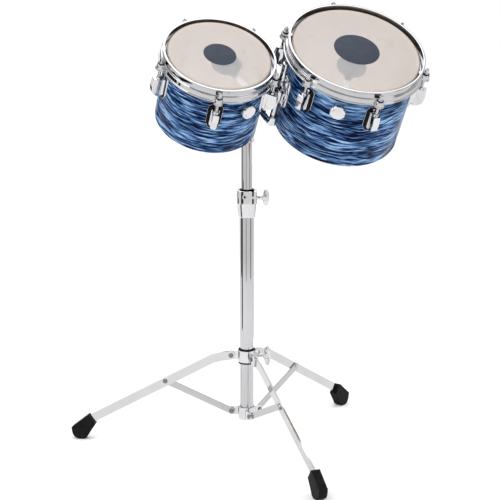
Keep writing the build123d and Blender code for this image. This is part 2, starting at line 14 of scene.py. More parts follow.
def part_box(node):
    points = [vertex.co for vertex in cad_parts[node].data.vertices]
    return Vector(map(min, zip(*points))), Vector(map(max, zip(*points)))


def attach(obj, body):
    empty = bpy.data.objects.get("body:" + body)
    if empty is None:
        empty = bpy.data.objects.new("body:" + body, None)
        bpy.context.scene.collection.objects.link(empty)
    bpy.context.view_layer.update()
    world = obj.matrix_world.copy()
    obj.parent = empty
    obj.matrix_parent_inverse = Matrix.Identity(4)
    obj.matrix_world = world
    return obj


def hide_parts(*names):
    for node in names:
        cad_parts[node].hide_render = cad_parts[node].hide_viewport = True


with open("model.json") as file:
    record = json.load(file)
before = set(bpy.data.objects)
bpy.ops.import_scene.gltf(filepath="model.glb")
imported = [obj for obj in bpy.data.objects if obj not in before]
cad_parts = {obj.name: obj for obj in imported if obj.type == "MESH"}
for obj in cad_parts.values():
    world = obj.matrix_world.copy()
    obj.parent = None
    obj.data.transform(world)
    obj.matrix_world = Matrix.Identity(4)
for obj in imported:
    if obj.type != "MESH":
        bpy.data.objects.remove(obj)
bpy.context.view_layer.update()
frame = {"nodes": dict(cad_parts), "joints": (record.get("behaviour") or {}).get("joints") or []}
NODES = frame["nodes"]
JOINTS = {joint["name"]: joint for joint in frame["joints"]}
MM = 0.001


# ---------------------------------------------------------------- places from the frame
def middle(node):
    low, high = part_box(node)
    return (low + high) / 2


def joint_axis(name):
    return Vector(JOINTS[name]["axis"]).normalized()


def joint_place(name):
    return Vector(JOINTS[name]["pos_m"])


def place_of(origin, x_dir, z_dir):
    """A matrix whose local Z is z_dir and whose local X lies as near as can be to x_dir."""
    z_dir = z_dir.normalized()
    y_dir = z_dir.cross(x_dir).normalized()
    x_dir = y_dir.cross(z_dir)
    turn = Matrix((x_dir, y_dir, z_dir)).transposed().to_4x4()
    return Matrix.Translation(origin) @ turn


def about_z(degrees):
    return Matrix.Rotation(radians(degrees), 4, "Z")


MAST = middle("lower_tube")
MAST.z = 0
AXIS = joint_axis("drum_8_slide")          # both drums' common axis
RIGHT = Vector((0, 1, 0)).cross(AXIS).normalized()
STAND = Matrix.Translation(MAST)
DOT_T = 0.3                # centre patch
TENSION_OFF = 14.5         # tension rods outside the shell
ROD_OFF = 13.0             # holder's rods outside the shell
KNOB_Z = -58               # damper knob below the rim
PAD_REACH = 78.8           # damper pad's axis inside the wall
BLADE_T = 4.4              # wing bolts' paddles
CLAMP_BLOCK_H = 26         # square part of the height clamp

DRUMS = {
    "8": dict(r=101.0, depth=163.5, head_z=-1.5, lugs=5, lug_0=-82.0, dot=31.75, grip=-82.0),
    "10": dict(r=126.5, depth=194.5, head_z=-5.0, lugs=6, lug_0=-66.3, dot=45.0, grip=-96.0),
}
for size, drum in DRUMS.items():
    rim = middle(f"dot_{size}") - AXIS * (drum["head_z"] + DOT_T / 2) * MM
    drum["place"] = place_of(rim, RIGHT, AXIS)
    inverse = drum["place"].to_3x3().transposed()
    for key, name in (("knob", f"knob_{size}_turn"), ("side", f"bracket_bolt_{size}_turn")):
        local = inverse @ joint_axis(name)
        drum[key] = math.degrees(math.atan2(local.y, local.x))
    drum["bracket"] = drum["side"] - 90
    drum["lug_angles"] = [drum["lug_0"] + 360 / drum["lugs"] * i for i in range(drum["lugs"])]

# ---------------------------------------------------------------- camera, from the player's side
AIM = MAST + Vector((6.76, 0, 416.5)) * MM
ELEVATION, DISTANCE = radians(11.8), 3.35
camera = bpy.data.objects.new("camera", bpy.data.cameras.new("camera"))
bpy.context.scene.collection.objects.link(camera)
camera.location = AIM + Vector((0, -cos(ELEVATION), sin(ELEVATION))) * DISTANCE
camera.rotation_euler = (pi / 2 - ELEVATION, 0, 0)
camera.data.sensor_width = 36
camera.data.lens = 117.6
camera.data.clip_end = 60
bpy.context.scene.camera = camera
bpy.context.scene.view_settings.view_transform = "Standard"


# ---------------------------------------------------------------- mesh helpers
def finish_mesh(name, bm, place, sharp=35):
    """An object in the shared frame from a mesh in local millimetres; sharp is the crease angle."""
    bmesh.ops.remove_doubles(bm, verts=bm.verts, dist=1e-4)
    bmesh.ops.recalc_face_normals(bm, faces=bm.faces)
    bmesh.ops.scale(bm, vec=(MM, MM, MM), verts=bm.verts)
    bmesh.ops.transform(bm, matrix=place, verts=bm.verts)
    mesh = bpy.data.meshes.new(name)
    bm.to_mesh(mesh)
    bm.free()
    mesh.shade_smooth()
    mesh.set_sharp_from_angle(angle=radians(sharp))
    piece = bpy.data.objects.new(name, mesh)
    bpy.context.scene.collection.objects.link(piece)
    return piece


def rounded(points, radius, steps=4):
    """The closed outline with each corner rounded; a point may carry its own radius as a third number."""
    out, count = [], len(points)
    for i, point in enumerate(points):
        size = point[2] if len(point) > 2 else radius
        at = Vector(point[:2])
        if size <= 0:
            out.append(tuple(at))
            continue
        before = Vector(points[i - 1][:2]) - at
        after = Vector(points[(i + 1) % count][:2]) - at
        angle = before.angle(after)
        if angle > pi - 0.02:
            out.append(tuple(at))
            continue
        reach = min(size / math.tan(angle / 2), before.length * 0.49, after.length * 0.49)
        size = reach * math.tan(angle / 2)
        start, end = at + before.normalized() * reach, at + after.normalized() * reach
        centre = at + (before.normalized() + after.normalized()).normalized() * (size / sin(angle / 2))
        a, b = start - centre, end - centre
        sweep = a.angle(b)
        for k in range(steps + 1):
            t = k / steps
            blend = (a * sin((1 - t) * sweep) + b * sin(t * sweep)) / sin(sweep)
            out.append(tuple(centre + blend))
    return out


def add_rings(bm, rings, closed_along=False, caps=True):
    """Skin a list of equal-length point rings."""
    loops = [[bm.verts.new(p) for p in ring] for ring in rings]
    count = len(loops[0])
    pairs = list(zip(loops, loops[1:])) + ([(loops[-1], loops[0])] if closed_along else [])
    for lower, upper in pairs:
        for i in range(count):
            j = (i + 1) % count
            bm.faces.new((lower[i], lower[j], upper[j], upper[i]))
    if caps and not closed_along:
        bm.faces.new(loops[0])
        bm.faces.new(loops[-1])


def add_lathe(bm, profile, count, closed=True):
    """Revolve an (r, z) outline about Z; an open one starts and ends on the axis."""
    rings = []
    for i in range(count):
        c, s = cos(2 * pi * i / count), sin(2 * pi * i / count)
        rings.append([(r * c, r * s, z) for r, z in profile])
    if closed:
        add_rings(bm, rings, closed_along=True)
        return
    loops = [[bm.verts.new(p) for p in ring] for ring in rings]
    for k, loop in enumerate(loops):
        after = loops[(k + 1) % count]
        for i in range(len(profile) - 1):
            corner = (loop[i], after[i], after[i + 1], loop[i + 1])
            bm.faces.new(corner)


def add_stack(bm, outline, levels):
    """A solid from one outline: levels are (inset, height) and the outline shrinks by inset."""
    rings = []
    for inset, z in levels:
        rings.append([Vector((x, y, z)) for x, y in offset_outline(outline, inset)])
    add_rings(bm, rings)


def offset_outline(points, inset):
    """Move every point of a counter-clockwise outline inwards along its corner's bisector."""
    out, count = [], len(points)
    for i in range(count):
        a, b, c = Vector(points[i - 1]), Vector(points[i]), Vector(points[(i + 1) % count])
        first, second = (b - a).normalized(), (c - b).normalized()
        normal = Vector((-first.y - second.y, first.x + second.x))
        if normal.length < 1e-6:
            normal = Vector((-first.y, first.x))
        normal.normalize()
        scale = max(0.35, normal.dot(Vector((-first.y, first.x))))
        out.append(tuple(b + normal * inset / scale))
    return out


def slot_outline(a, b, radius, steps=10):
    """A stadium about the points a and b."""
    a, b = Vector(a), Vector(b)
    heading = math.atan2(b.y - a.y, b.x - a.x)
    out = []
    for centre, start in ((b, heading - pi / 2), (a, heading + pi / 2)):
        for k in range(steps + 1):
            t = start + pi * k / steps
            out.append((centre.x + radius * cos(t), centre.y + radius * sin(t)))
    return out


def bevelled(piece, width, segments):
    """Break a piece's sharp edges; width is in millimetres."""
    mod = piece.modifiers.new("bevel", "BEVEL")
    mod.width = width * MM
    mod.segments = segments
    mod.limit_method = "ANGLE"
    mod.angle_limit = radians(30)
    mod.harden_normals = True
    return piece


def dress(piece, material, body, slot, *nodes):
    """Material, body, slot (not used) and the CAD nodes that a made piece stands for."""
    piece.data.materials.clear()
    piece.data.materials.append(material)
    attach(piece, body)
    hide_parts(*nodes)
    return piece


def remake(node, material, body, slot, width=0.5, segments=2):
    """A CAD node's own shape with its edges broken by a small bevel."""
    bm = bmesh.new()
    bm.from_mesh(NODES[node].data)
    bmesh.ops.remove_doubles(bm, verts=bm.verts, dist=2e-6)
    bmesh.ops.dissolve_limit(bm, angle_limit=radians(1.0), verts=bm.verts, edges=bm.edges)
    bmesh.ops.scale(bm, vec=(1000, 1000, 1000), verts=bm.verts)
    piece = bevelled(finish_mesh(f"{node}_finished", bm, Matrix()), width, segments)
    return dress(piece, material, body, slot, node)


# ---------------------------------------------------------------- materials
class Nodes:
    """Short calls for building one material's node tree."""

    def __init__(self, name, **values):
        self.material = bpy.data.materials.new(name)
        self.material.use_nodes = True
        self.tree = self.material.node_tree
        self.shader = self.tree.nodes["Principled BSDF"]
        for key, value in values.items():
            self.shader.inputs[key.replace("_", " ")].default_value = value

    def add(self, kind, inputs=None, **settings):
        node = self.tree.nodes.new("ShaderNode" + kind)
        for key, value in settings.items():
            setattr(node, key, value)
        for key, value in (inputs or {}).items():
            socket = node.inputs[key]
            if isinstance(value, bpy.types.NodeSocket):
                self.tree.links.new(value, socket)
            else:
                socket.default_value = value
        return node

    def coords(self, scale=(1, 1, 1), place=None):
        """Shared-frame coordinates in metres, or those of a local frame."""
        vector = self.add("TexCoord").outputs["Object"]
        if place is not None:
            back = place.inverted()
            vector = self.add("Mapping", {"Vector": vector, "Location": back.translation,
                                          "Rotation": back.to_euler()}).outputs[0]
        return self.add("Mapping", {"Vector": vector, "Scale": scale}).outputs[0]

    def radius(self, vector):
        """Distance from the Z axis, in the frame of the given coordinates."""
        flat = self.add("VectorMath", {0: vector, 1: (1, 1, 0)}, operation="MULTIPLY")
        return self.add("VectorMath", {0: flat.outputs[0]}, operation="LENGTH").outputs["Value"]

    def noise(self, vector, scale, detail=3.0, rough=0.5, distort=0.0):
        return self.add("TexNoise", {"Vector": vector, "Scale": scale, "Detail": detail,
                                     "Roughness": rough, "Distortion": distort}).outputs["Fac"]

    def ramp(self, value, stops):
        node = self.add("ValToRGB", {"Fac": value})
        ramp = node.color_ramp
        while len(ramp.elements) < len(stops):
            ramp.elements.new(0.5)
        for element, (position, colour) in zip(ramp.elements, stops):
            element.position = position
            element.color = (*colour, 1)
        return node.outputs["Color"]

    def math(self, operation, a, b=0.0):
        return self.add("Math", {0: a, 1: b}, operation=operation).outputs[0]

    def range(self, value, low, high, from_low=0.3, from_high=0.7):
        return self.add("MapRange", {"Value": value, "From Min": from_low, "From Max": from_high,
                                     "To Min": low, "To Max": high}).outputs[0]

    def mix(self, factor, colour, other):
        """Colour moved towards a fixed other colour by factor."""
        node = self.add("Mix", {0: factor, 6: colour, 7: (*other, 1)}, data_type="RGBA", blend_type="MIX")
        return node.outputs[2]

    def bump(self, height, strength, distance):
        node = self.add("Bump", {"Height": height, "Strength": strength, "Distance": distance})
        self.link(node.outputs[0], "Normal")

    def link(self, output, name):
        self.tree.links.new(output, self.shader.inputs[name])


def chrome_material(name, base=(0.62, 0.62, 0.63), low=0.03, high=0.09):
    """Plating with faint smears; low and high bound its roughness."""
    n = Nodes(name, Metallic=1.0)
    smears = n.noise(n.coords((1, 1, 0.45)), 28, 4, 0.6)
    specks = n.noise(n.coords(), 900, 2)
    n.link(n.ramp(smears, [(0.3, tuple(v * 0.94 for v in base)), (0.7, base)]), "Base Color")
    n.link(n.range(smears, low, high), "Roughness")
    n.bump(specks, 0.012, 0.0004)
    return n.material


def ripple_material(name, place, seed):
    """Pearl film: long streaks round the shell, from near black through navy to light blue."""
    n = Nodes(name, Roughness=0.2, Coat_Weight=0.02, Coat_Roughness=0.05, Specular_IOR_Level=0.03)
    local = n.coords((1, 1, 1), place)
    moved = n.add("Mapping", {"Vector": local, "Location": (seed, seed * 0.7, seed * 1.9)}).outputs[0]
    drift = n.add("TexNoise", {"Vector": n.add("Mapping", {"Vector": moved, "Scale": (1, 1, 1.8)}).outputs[0],
                               "Scale": 12.0, "Detail": 2.5, "Roughness": 0.5})
    centred = n.add("VectorMath", {0: drift.outputs["Color"], 1: (0.5, 0.5, 0.5)}, operation="SUBTRACT")
    pushed = n.add("VectorMath", {0: centred.outputs[0], "Scale": 0.022}, operation="SCALE")
    warped = n.add("VectorMath", {0: moved, 1: pushed.outputs[0]}, operation="ADD").outputs[0]

    def stretched(across, up):
        return n.add("Mapping", {"Vector": warped, "Scale": (across, across, up)}).outputs[0]

    broad = n.noise(stretched(24, 300), 1.0, 1.5, 0.5, 0.3)
    fine = n.noise(stretched(50, 820), 1.0, 2.0, 0.55, 0.3)
    patches = n.noise(stretched(9, 40), 1.0, 1.0)
    total = n.math("ADD", n.math("MULTIPLY", broad, 0.6), n.math("MULTIPLY", fine, 0.4))
    total = n.math("ADD", total, n.math("MULTIPLY", n.math("SUBTRACT", patches, 0.5), 0.20))
    colour = n.ramp(total, [
        (0.43, (0.0003, 0.002, 0.018)), (0.46, (0.001, 0.009, 0.048)), (0.478, (0.014, 0.042, 0.125)),
        (0.52, (0.042, 0.110, 0.255)), (0.565, (0.115, 0.225, 0.43)), (0.62, (0.30, 0.47, 0.70))])
    n.link(colour, "Base Color")
    n.link(n.range(fine, 0.14, 0.26), "Roughness")
    n.bump(n.noise(n.coords(), 60, 2), 0.03, 0.001)
    return n.material


def film_material(name, place, r):
    """Hazy film: it scatters light from both sides and lets some straight through."""
    n = Nodes(name, Roughness=0.32, Specular_IOR_Level=0.35)
    cloud = n.noise(n.coords(), 9, 3)
    haze = n.ramp(cloud, [(0.3, (0.66, 0.655, 0.66)), (0.7, (0.70, 0.69, 0.695))])
    local = n.coords((1, 1, 1), place)
    # Brown tint near the rim on the far side only: painted shadow and reflection of the hoop's inner wall.
    rim = n.range(n.radius(local), 0.0, 0.85, (r - 5.0) * MM, (r - 1.5) * MM)
    far_side_painted_shade = n.range(n.add("SeparateXYZ", {0: local}).outputs["Y"], 0.0, 1.0, -0.15 * r * MM, 0.2 * r * MM)
    n.link(n.mix(n.math("MULTIPLY", rim, far_side_painted_shade), haze, (0.17, 0.075, 0.03)), "Base Color")
    n.link(n.range(n.noise(n.coords(), 40, 3), 0.26, 0.40), "Roughness")
    n.bump(n.noise(n.coords(), 1400, 2), 0.05, 0.0002)
    below = n.add("BsdfTranslucent", {"Color": (0.90, 0.85, 0.82, 1)})
    clear = n.add("BsdfTransparent")
    hazed = n.add("MixShader", {0: 0.30, 1: n.shader.outputs[0], 2: below.outputs[0]})
    mixed = n.add("MixShader", {0: 0.66, 1: hazed.outputs[0], 2: clear.outputs[0]})
    n.tree.links.new(mixed.outputs[0], n.tree.nodes["Material Output"].inputs["Surface"])
    return n.material


def dot_material():
    """Satin blue-grey plastic of the centre patches."""
    n = Nodes("centre patch", Roughness=0.5, Specular_IOR_Level=0.12)
    cloud = n.noise(n.coords(), 30, 3)
    n.link(n.ramp(cloud, [(0.3, (0.030, 0.038, 0.056)), (0.7, (0.038, 0.048, 0.068))]), "Base Color")
    n.link(n.range(n.noise(n.coords(), 70, 3), 0.42, 0.55), "Roughness")
    n.bump(n.noise(n.coords(), 1800, 2), 0.06, 0.0002)
    return n.material


def ply_material(name, place):
    """Lacquered plywood, about the drum's own axis."""
    n = Nodes(name, Coat_Weight=0.3, Coat_Roughness=0.2)
    moved = n.coords((1, 1, 1), place)
    radial = n.radius(moved)
    ply_pitch = 0.0021
    plies = n.math("SINE", n.math("MULTIPLY", radial, 2 * pi / ply_pitch))
    grain = n.noise(n.add("Mapping", {"Vector": moved, "Scale": (30, 30, 260)}).outputs[0], 1.0, 4, 0.6)
    colour = n.ramp(grain, [
        (0.3, (0.64, 0.54, 0.46)), (0.55, (0.72, 0.62, 0.54)), (0.75, (0.78, 0.69, 0.61))])
    plied = n.mix(n.range(plies, 0.0, 0.35, -1, 1), colour, (0.44, 0.30, 0.20))
    n.link(plied, "Base Color")
    n.link(n.range(grain, 0.3, 0.45), "Roughness")
    n.bump(grain, 0.1, 0.0004)
    return n.material


def rubber_material(name="foot rubber", base=(0.005, 0.005, 0.0055)):
    """Black rubber or nylon with a little pale dust."""
    n = Nodes(name, Specular_IOR_Level=0.06)
    mottle = n.noise(n.coords(), 90, 4)
    dust = tuple(v * 2.2 + 0.002 for v in base)
    n.link(n.ramp(mottle, [(0.35, base), (0.8, dust)]), "Base Color")
    n.link(n.range(mottle, 0.38, 0.58), "Roughness")
    n.bump(n.noise(n.coords(), 1500, 3), 0.18, 0.0003)
    return n.material


def felt_material():
    """Dark fibrous felt of the damper pads."""
    n = Nodes("damper felt", Roughness=0.95, Sheen_Weight=0.5, Sheen_Roughness=0.6)
    fibre = n.noise(n.coords(), 700, 5, 0.7)
    n.link(n.ramp(fibre, [(0.3, (0.02, 0.03, 0.05)), (0.7, (0.05, 0.065, 0.09))]), "Base Color")
    n.bump(fibre, 0.6, 0.0008)
    return n.material


def steel_material(name="plated steel", base=(0.55, 0.56, 0.58)):
    """Dull plated steel with a fine brushed grain."""
    n = Nodes(name, Metallic=1.0)
    brushed = n.noise(n.coords((1, 1, 14)), 160, 4)
    n.link(n.ramp(brushed, [(0.3, tuple(v * 0.85 for v in base)), (0.7, base)]), "Base Color")
    n.link(n.range(brushed, 0.22, 0.36), "Roughness")
    n.bump(brushed, 0.03, 0.0003)
    return n.material


CHROME = chrome_material("chrome plating")
# The hoop, tube, leg and stay copies are the same plating with darker base colours: painted shade, so those
# parts read darker.
HOOP_CHROME = chrome_material("hoop chrome", (0.45, 0.45, 0.46), 0.02, 0.06)
TUBE_CHROME = chrome_material("tube chrome", (0.52, 0.52, 0.53))
LEG_CHROME = chrome_material("leg chrome", (0.56, 0.56, 0.57))
STAY_CHROME = chrome_material("stay chrome", (0.46, 0.46, 0.47))
DOT = dot_material()
RUBBER, FELT, STEEL = rubber_material(), felt_material(), steel_material()
RIVET = steel_material("rivet steel", (0.20, 0.20, 0.21))
BLACK = rubber_material("black fittings", (0.004, 0.004, 0.0045))


# ---------------------------------------------------------------- drums
def make_wrap(size, drum):
    """The pearl film round the shell, from under the hoop to the open bottom."""
    r, bottom = drum["r"], -drum["depth"]
    bm = bmesh.new()
    add_lathe(bm, rounded([(r - 0.8, bottom + 1), (r, bottom + 1), (r, -20), (r - 0.8, -20)], 0.25, 2), 224)
    piece = finish_mesh(f"wrap_film_{size}", bm, drum["place"])
    material = ripple_material(f"blue ripple {size}", drum["place"], 0.31 * len(size))
    return dress(piece, material, f"drum_{size}", "blue_ripple", f"wrap_{size}")


def make_head(size, drum):
    """The dished film, the crimped hoop round its collar and the centre patch."""
    r, top, body = drum["r"], drum["head_z"], f"drum_{size}"
    bm = bmesh.new()
    outer = [(0, top), (r - 5.0, top), (r - 2.2, top - 0.5), (r - 0.4, top - 2.2), (r + 0.6, top - 4.6),
             (r + 1.0, -16.8)]
    inner = [(x - 0.28 if x > r - 4 else x, z - (0.25 if x < r + 0.5 else 0)) for x, z in outer]
    add_lathe(bm, outer + inner[::-1], 160, closed=False)
    film = finish_mesh(f"film_{size}", bm, drum["place"], 50)
    material = film_material(f"drumhead film {size}", drum["place"], r)
    dress(film, material, body, "drumhead_film", f"head_{size}")
    bm = bmesh.new()
    add_lathe(bm, rounded([(r + 0.5, -22.5), (r + 7.7, -22.5), (r + 7.7, -16.9), (r + 0.5, -16.9)], 1.2), 128)
    ring = finish_mesh(f"crimped_hoop_{size}", bm, drum["place"])
    dress(ring, STEEL, body, "plated_steel", f"flesh_hoop_{size}")
    low, high = top + 0.02, top + DOT_T
    bm = bmesh.new()
    add_lathe(bm, [(0, low), (drum["dot"] + 0.1, low), (drum["dot"], high - 0.1), (drum["dot"] - 0.3, high),
                   (0, high)], 128, closed=False)
    dress(finish_mesh(f"patch_{size}", bm, drum["place"]), DOT, body, "centre_dot", f"dot_{size}")


def add_ear(bm, r, turn):
    """A tension rod's ear: a cup of hoop steel raised from the bottom flange."""
    outline = slot_outline((r + 6.0, 0), (r + TENSION_OFF, 0), 8.0, 12)
    levels = [(-1.6, -26.0), (-2.0, -25.2), (-1.8, -24.2), (-0.8, -23.2), (-0.2, -21.2), (0, -18.8),
              (0, -16.0), (0.4, -14.7), (1.0, -14.0), (1.9, -13.8)]
    inside = [(2.6, -16.0), (2.1, -17.0), (2.1, -26.0)]
    rings = []
    for inset, z in levels:
        rings.append([turn @ Vector((x, y, z)) for x, y in offset_outline(outline, inset)])
    add_rings(bm, rings, caps=False)
    lower = [[turn @ Vector((x, y, z)) for x, y in offset_outline(outline, inset)] for inset, z in inside]
    add_rings(bm, lower, caps=False)
    bmesh.ops.remove_doubles(bm, verts=bm.verts, dist=1e-5)
    for ring in (rings[-1], lower[0]):
        bm.faces.new([bm.verts.new(p) for p in ring])
    loops = [bm.verts.new(p) for p in rings[0]], [bm.verts.new(p) for p in lower[-1]]
    count = len(rings[0])
    for i in range(count):
        j = (i + 1) % count
        bm.faces.new((loops[0][i], loops[0][j], loops[1][j], loops[1][i]))


def make_hoop(size, drum):
    """The triple-flanged hoop with its ears; each point is (out from the shell, z, corner radius)."""
    r = drum["r"]
    steel = [(4.5, -0.7, 0.7), (4.5, 0, 0.7), (8.9, 0, 1.0), (8.9, -2.2, 1.0), (6.6, -2.2, 1.2),
             (6.6, -13.8, 1.6), (10.8, -13.8, 1.6), (10.8, -23.8, 1.6), (13.6, -23.8, 0.9), (13.6, -26, 0.9),
             (8.7, -26, 1.8), (8.7, -15.8, 1.2), (4.5, -15.8, 1.8)]
    bm = bmesh.new()
    add_lathe(bm, rounded([(r + x, z, c) for x, z, c in steel], 1.0, 3), 224)
    for angle in drum["lug_angles"]:
        add_ear(bm, r, about_z(angle))
    piece = finish_mesh(f"flanged_hoop_{size}", bm, drum["place"], 40)
    return dress(piece, HOOP_CHROME, f"drum_{size}", "chrome", f"hoop_{size}")


def shield(half, top, shoulder, low, cut=5.0):
    """The lug plate's outline in the tangential and vertical directions, counter-clockwise."""
    points = [(-half, shoulder), (-half * 0.62, low * 0.25 + shoulder * 0.75 - 8), (0, low)]
    right = [(half * 0.62, low * 0.25 + shoulder * 0.75 - 8), (half, shoulder), (half, top - cut),
             (half - cut, top), (cut - half, top), (-half, top - cut)]
    return rounded(points + right, 3.5, 4)


LUG_PLATE = shield(14.6, -40.6, -84.0, -98.5)


def radial_plate(bm, outline, levels, turn):
    """A stack along X: levels are (inset, x) and the outline lies in YZ."""
    rings = [[turn @ Vector((x, y, z)) for y, z in offset_outline(outline, inset)] for inset, x in levels]
    add_rings(bm, rings)


def add_lug(bm, r, turn):
    """A lug: a rimmed plate, a pointed step, the tapering blade and the sleeve that the rod enters."""
    radial_plate(bm, LUG_PLATE, [(0, r - 1.5), (0, r + 1.5), (0.15, r + 2.0), (0.4, r + 2.3),
                                 (0.65, r + 2.1), (0.8, r + 1.4), (1.2, r + 1.3)], turn)
    step = rounded([(-8.1, -85), (0, -94.0), (8.1, -85), (8.1, -49.0), (-8.1, -49.0)], 1.6, 3)
    radial_plate(bm, step, [(0, r - 1), (0, r + 7.1), (0.3, r + 7.8), (1.0, r + 8.0)], turn)
    side = rounded([(r + 1, -49.0, 0.2), (r + 1, -94.0, 0.2), (r + 10, -93.6, 6), (r + 19.5, -88, 7),
                    (r + 25.2, -79, 8), (r + 27.2, -64, 12), (r + 24.6, -49.0, 1.6)], 2, 5)
    rings = []
    for t in (-1, -0.86, 0.86, 1):
        ring = []
        for x, z in offset_outline(side, 1.3 if abs(t) == 1 else 0):
            half = 6.6 - 3.8 * min(1, max(0, (-76 - z) / 18)) ** 1.4
            ring.append(turn @ Vector((x, t * half, z)))
        rings.append(ring)
    add_rings(bm, rings)
    sleeve = rounded([(2.9, -49.6), (5.2, -49.6), (5.2, -46.6), (4.4, -45.4), (2.9, -45.4)], 0.5, 2)
    add_lathe_turned(bm, sleeve, 24, turn @ Matrix.Translation((r + TENSION_OFF, 0, 0)))


def add_plate_painted_reflection(bm, r, turn):
    """A black sheet over the middle of each lug plate inside its bright rim: a painted dark reflection of the
    plate's face.
    """
    radial_plate(bm, LUG_PLATE, [(0.9, r + 0.6), (0.9, r + 1.5), (1.1, r + 1.8), (1.8, r + 1.9)], turn)


def add_lathe_turned(bm, profile, count, turn, closed=True):
    """add_lathe about the Z axis of turn instead."""
    spare = bmesh.new()
    add_lathe(spare, profile, count, closed=closed)
    join_into(bm, spare, turn)


def join_into(bm, spare, turn):
    """Copy a small mesh into another one, moved by turn."""
    bmesh.ops.transform(spare, matrix=turn, verts=spare.verts)
    copied = {v: bm.verts.new(v.co) for v in spare.verts}
    for face in spare.faces:
        bm.faces.new([copied[v] for v in face.verts])
    spare.free()


def make_lugs(size, drum):
    # The second piece is the black sheet over each lug plate's middle, a painted dark reflection.
    for name, grow, material, slot in (("lug_castings", add_lug, CHROME, "chrome"),
                                       ("lug_plate_painted_reflections", add_plate_painted_reflection, BLACK, "foot_rubber")):
        bm = bmesh.new()
        for angle in drum["lug_angles"]:
            grow(bm, drum["r"], about_z(angle))
        piece = finish_mesh(f"{name}_{size}", bm, drum["place"], 28)
        dress(piece, material, f"drum_{size}", slot, f"lugs_{size}")


def make_tension(size, drum):
    """Square-headed rods with their flanges and threads, and the black washers under them."""
    rods, washers = bmesh.new(), bmesh.new()
    for angle in drum["lug_angles"]:
        turn = about_z(angle) @ Matrix.Translation((drum["r"] + TENSION_OFF, 0, 0))
        outline = [(0, -78), (2.3, -78), (2.8, -77.4)]
        for k in range(18):
            low = -76 + 1.15 * k * 1.6
            outline += [(2.8, low), (2.45, low + 0.55)]
        outline += [(2.8, -46.5), (2.8, -11.8), (4.8, -11.8), (5.4, -11.2), (5.4, -10.4), (4.9, -9.8),
                    (0, -9.8)]
        add_lathe_turned(rods, outline, 28, turn, closed=False)
        square = rounded([(-3.2, -3.2), (3.2, -3.2), (3.2, 3.2), (-3.2, 3.2)], 0.7, 3)
        levels = [(-0.8, -9.9), (-0.3, -9.3), (0, -8.6), (0, -2.9), (0.4, -2.1), (1.2, -1.6), (2.4, -1.5)]
        spare = bmesh.new()
        add_stack(spare, square, levels)
        join_into(rods, spare, turn @ about_z(20))
        washer = rounded([(2.9, -13.7), (6.4, -13.7), (6.4, -11.8), (2.9, -11.8)], 0.5, 2)
        add_lathe_turned(washers, washer, 32, turn)
    piece = finish_mesh(f"key_rods_{size}", rods, drum["place"], 30)
    dress(piece, HOOP_CHROME, f"drum_{size}", "chrome", f"tension_rods_{size}")
    piece = finish_mesh(f"rod_washers_{size}", washers, drum["place"])
    dress(piece, BLACK, f"drum_{size}", "foot_rubber", f"tension_rods_{size}")


def radial(drum, angle, distance, z):
    """Local frame at a point of the wall, with Z pointing outwards and X down the drum."""
    out = about_z(angle).to_3x3() @ Vector((1, 0, 0))
    at = drum["place"] @ ((out * distance + Vector((0, 0, z))) * MM)
    turned = drum["place"].to_3x3()
    return place_of(at, turned @ Vector((0, 0, -1)), turned @ out)


def make_knob(size, drum):
    """The damper knob with eight flutes, and its shaft; levels are (radius, out, depth of flute)."""
    bm = bmesh.new()
    count = 144
    levels = [(9.0, 2.0, 0), (13.6, 2.0, 0), (14.9, 2.5, 0.3), (15.5, 3.6, 1), (15.5, 10.8, 1),
              (15.1, 12.2, 1), (14.2, 13.3, 0.7), (12.8, 13.9, 0.2), (11.0, 14.0, 0), (10.0, 13.6, 0),
              (5, 13.3, 0), (0.01, 13.2, 0)]
    rings = []
    for radius, z, depth in levels:
        ring = []
        for i in range(count):
            a = 2 * pi * i / count
            flute = max(0.0, cos(8 * a)) ** 3 * 1.1 * depth
            ring.append(((radius - flute) * cos(a), (radius - flute) * sin(a), z))
        rings.append(ring)
    add_rings(bm, rings)
    add_lathe(bm, [(0, -16), (3.5, -16), (3.5, 2.4), (0, 2.4)], 32, closed=False)
    piece = finish_mesh(f"damper_knob_{size}", bm, radial(drum, drum["knob"], drum["r"], KNOB_Z), 40)
    return dress(piece, CHROME, f"knob_{size}", "chrome", f"knob_{size}")


def make_damper(size, drum):
    """The felt disc under the film, rounded at its rims and slightly hollow on top."""
    pad_x, top = drum["r"] - PAD_REACH, drum["head_z"] - 2.8
    section = [(25.5, -9.0), (27.8, -8.7), (28.7, -7.6), (29.0, -5.2), (28.9, -2.4), (28.2, -0.7),
               (26.6, -0.05), (18, 0), (6, -0.1)]
    bm = bmesh.new()
    add_rings(bm, [[(pad_x + radius * cos(2 * pi * i / 96), radius * sin(2 * pi * i / 96), top + z)
                    for i in range(96)] for radius, z in section])
    pad = finish_mesh(f"felt_disc_{size}", bm, drum["place"] @ about_z(drum["knob"]), 60)
    dress(pad, FELT, f"damper_{size}", "felt", f"damper_pad_{size}")


